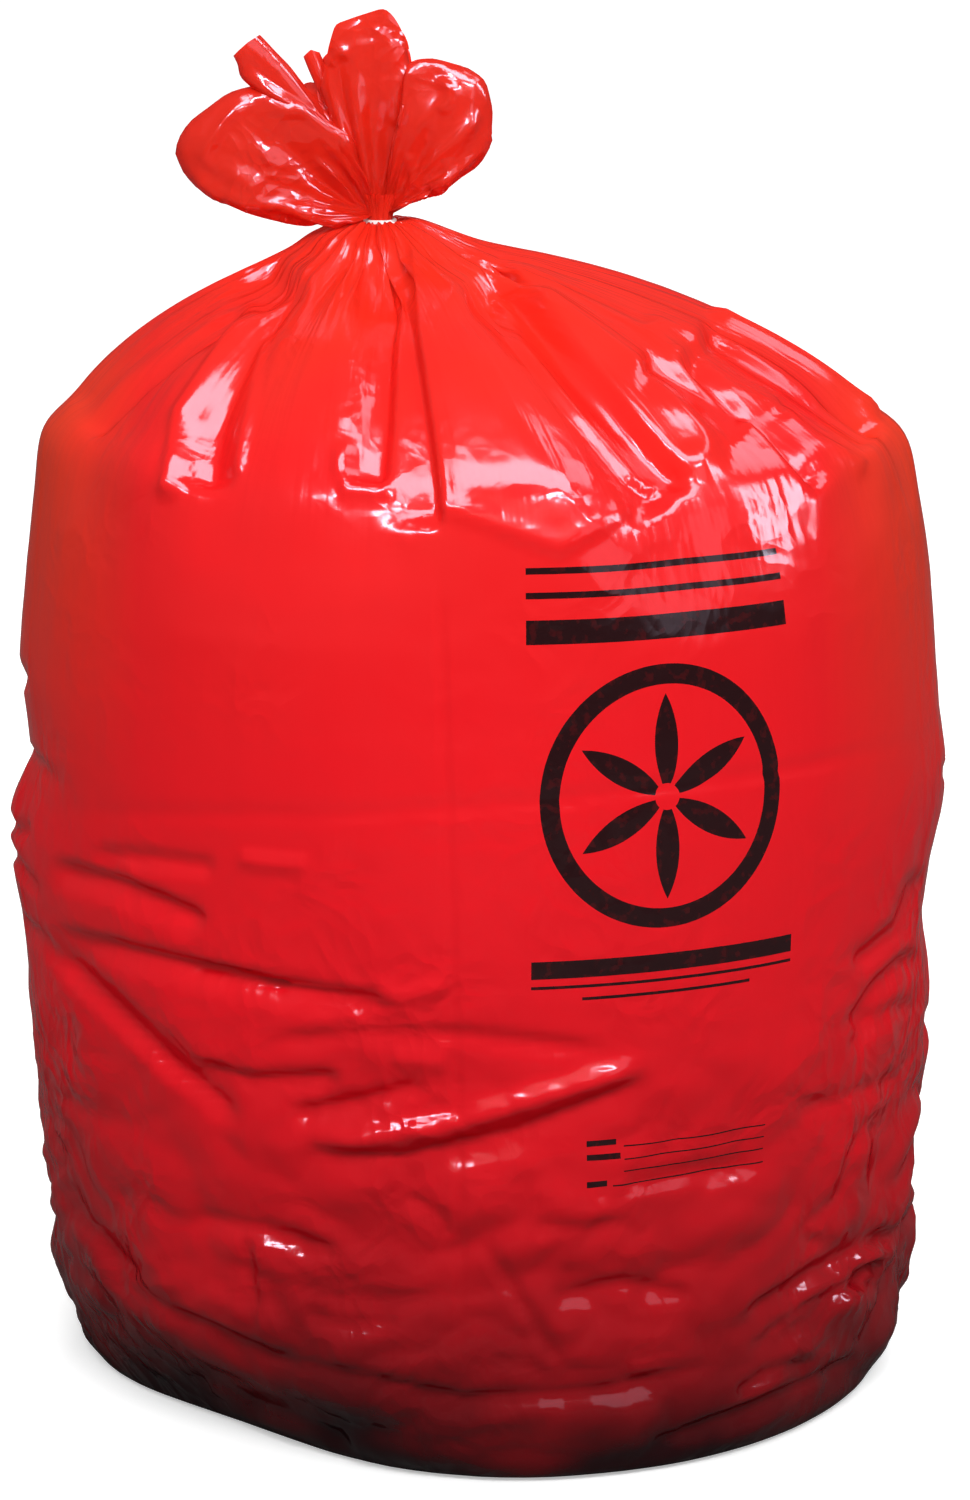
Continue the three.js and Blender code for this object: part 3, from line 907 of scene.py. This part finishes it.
def film_material(name, crinkled, gloss, printed):
    m = bpy.data.materials.new(name)
    m.use_nodes = True
    tree = m.node_tree
    shader = tree.nodes["Principled BSDF"]
    place = tree.nodes.new("ShaderNodeTexCoord").outputs["Object"]
    film = node(tree, "ShaderNodeUVMap", uv_map="film").outputs["UV"]

    # The film's red, with painted shade towards the foot and painted light, orange, high up at the
    # sides.
    colour = shared(tree, "film_tone_and_painted_shade", tone_and_painted_shade_group, place)
    if printed:
        colour = mixed(tree, ink_mask(tree, film), colour, INK_COLOUR)
    tree.links.new(colour, shader.inputs["Base Color"])
    tree.links.new(shared(tree, "film_smears", smear_group, place), shader.inputs["Roughness"])
    shader.inputs["IOR"].default_value = 1.5

    # Thin film mirrors little at its edges, where one looks along it.
    facing = tree.nodes.new("ShaderNodeLayerWeight").outputs["Facing"]
    mirrored = ranged(tree, facing, 0.42, 0.80, gloss, 0.02)
    tree.links.new(mirrored, shader.inputs["Specular IOR Level"])

    lift = shared(tree, "film_crinkle", crinkle_group, film)
    if printed:
        lift = drawn_up(tree, place, film, lift)
    relief = node(tree, "ShaderNodeBump",
                  {"Height": lift, "Strength": crinkled, "Distance": RELIEF_HEIGHT})
    tree.links.new(relief.outputs["Normal"], shader.inputs["Normal"])
    if not printed:
        let_light_through(tree, shader, relief.outputs["Normal"])
    return m


def let_light_through(tree, shader, normal):
    """Thin film held up to the light: part of it passes through."""
    through = node(tree, "ShaderNodeBsdfTranslucent", {"Normal": normal, "Color": LIT_FROM_BEHIND})
    both = node(tree, "ShaderNodeMixShader", {"Fac": LIGHT_PASSED})
    tree.links.new(shader.outputs[0], both.inputs[1])
    tree.links.new(through.outputs[0], both.inputs[2])
    tree.links.new(both.outputs[0], tree.nodes["Material Output"].inputs["Surface"])


# Studio

# What mirrors on the film is the softboxes, so the floor and the room look dim in reflections, and the
# floor throws little light back up.
ROOM_LIGHT, ROOM_MIRRORED = 0.76, 0.10
FLOOR_COLOUR, FLOOR_BOUNCE, FLOOR_LIFT = 0.92, 0.12, 0.40
SOFTBOX_TINT = (0.90, 0.82, 1.0)

# Name, place, aim, size and power.
LAMPS = [
    ("key", (0.3, -2.5, 2.1), (0.0, 0, 0.40), (1.6, 1.0), 66),
    ("back", (0.6, 2.2, 1.8), (0, 0, 0.5), (2.0, 1.4), 20),
]
SOFTBOXES = [
    ("front_softbox", (0.35, -0.9, 2.6), (0.05, -0.1, 0.5), (2.4, 0.9), 105),
    ("right_haze", (1.3, 0.45, 2.3), (0.1, 0, 0.55), (0.9, 0.6), 8),
    ("haze_softbox", (1.7, -1.9, 1.35), (0.05, 0, 0.5), (1.3, 1.3), 7),
    ("left_strip", (-0.85, -1.5, 2.0), (0, 0, 0.45), (0.9, 0.16), 30),
    ("right_strip", (0.95, -1.5, 2.0), (0, 0, 0.45), (0.9, 0.16), 30),
    ("right_softbox", (2.2, -0.5, 1.6), (0, 0, 0.5), (0.4, 1.2), 30),
]


def stage():
    bm = bmesh.new()
    bmesh.ops.create_grid(bm, x_segments=1, y_segments=1, size=60)
    floor = link("studio_floor", bm)
    m = bpy.data.materials.new("studio_floor")
    m.use_nodes = True
    tree = m.node_tree
    shader = tree.nodes["Principled BSDF"]
    seen = tree.nodes.new("ShaderNodeLightPath").outputs["Is Camera Ray"]
    level = math_node(tree, "MULTIPLY_ADD", seen, FLOOR_COLOUR - FLOOR_BOUNCE, FLOOR_BOUNCE)
    grey = tree.nodes.new("ShaderNodeCombineColor")
    for channel in ("Red", "Green", "Blue"):
        tree.links.new(level, grey.inputs[channel])
    tree.links.new(grey.outputs["Color"], shader.inputs["Base Color"])
    shader.inputs["Roughness"].default_value = 0.9
    shader.inputs["Specular IOR Level"].default_value = 0.0
    shader.inputs["Emission Color"].default_value = (1, 1, 1, 1)
    tree.links.new(math_node(tree, "MULTIPLY", seen, FLOOR_LIFT), shader.inputs["Emission Strength"])
    floor.data.materials.append(m)


def area_light(name, place, aim, size, power, mirrored_only=False):
    data = bpy.data.lights.new(name, "AREA")
    data.shape = "RECTANGLE"
    data.size, data.size_y = size
    data.energy = power
    data.color = SOFTBOX_TINT if mirrored_only else (1, 1, 1)
    light = bpy.data.objects.new(name, data)
    bpy.context.collection.objects.link(light)
    light.location = place
    light.rotation_mode = "QUATERNION"
    light.rotation_quaternion = (Vector(aim) - Vector(place)).to_track_quat("-Z", "Y")
    light.visible_diffuse = not mirrored_only
    light.visible_glossy = mirrored_only


def studio():
    stage()
    for light in LAMPS:
        area_light(*light)
    for light in SOFTBOXES:
        area_light(*light, mirrored_only=True)
    world = bpy.data.worlds.new("studio")
    bpy.context.scene.world = world
    world.use_nodes = True
    tree = world.node_tree
    background = tree.nodes["Background"]
    background.inputs["Color"].default_value = (1, 1, 1, 1)
    mirrored = tree.nodes.new("ShaderNodeLightPath").outputs["Is Glossy Ray"]
    level = math_node(tree, "MULTIPLY_ADD", mirrored, ROOM_MIRRORED - ROOM_LIGHT, ROOM_LIGHT)
    tree.links.new(level, background.inputs["Strength"])
    bpy.context.scene.view_settings.view_transform = "Standard"


def camera():
    data = bpy.data.cameras.new("camera")
    data.lens, data.sensor_width = LENS, SENSOR
    cam = bpy.data.objects.new("camera", data)
    bpy.context.collection.objects.link(cam)
    cam.location = CAMERA_AIM + CAMERA_BACK * CAMERA_DISTANCE
    cam.rotation_mode = "QUATERNION"
    cam.rotation_quaternion = (-CAMERA_BACK).to_track_quat("-Z", "Y")
    data.shift_x = (FRAME_WIDE / 2 - AIM_PIXEL[0]) / FRAME_HIGH
    data.shift_y = (AIM_PIXEL[1] - FRAME_HIGH / 2) / FRAME_HIGH
    bpy.context.scene.camera = cam


body = film_body()
places = coordinates(body.data)
near_neck = np.linalg.norm(places - np.array(NECK), axis=1)
held = (places[:, 2] < 0.001) | (near_neck < 0.055)
kept = 1 - SLOPE_HELD * smoothstep(places[:, 2], SHOULDER - 0.05, SHOULDER + 0.03)
settle(body, 16, held, pressure=4, bending=0.3, kept=kept)
soften(body, SHOULDER - 0.05, SHOULDER + 0.11, 1, 0.30)
soften(body, SHOULDER - 0.035, SHOULDER + 0.035, 14, 0.14)
soften(body, SHOULDER - 0.030, SHOULDER + 0.030, 5, 0.30)
subdivide_once(body)
crumple(body)
crease_back(body)
tuck_corner(body)
press_front(body)
body.data.materials.append(film_material("red_film", 0.45, 0.42, True))
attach(body, "root")
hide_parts("bag")

tail = film_tail()
places = coordinates(tail.data)
held = np.linalg.norm(places - np.array(NECK), axis=1) < 0.018
settle(tail, 12, held, pressure=1.5, bending=0.03, rest_scale=1.05, cap=0.010)
subdivide_once(tail)
crease_tail(tail)
tail.data.materials.append(film_material("red_film_tail", 0.9, 1.0, False))
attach(tail, "root")

studio()
camera()
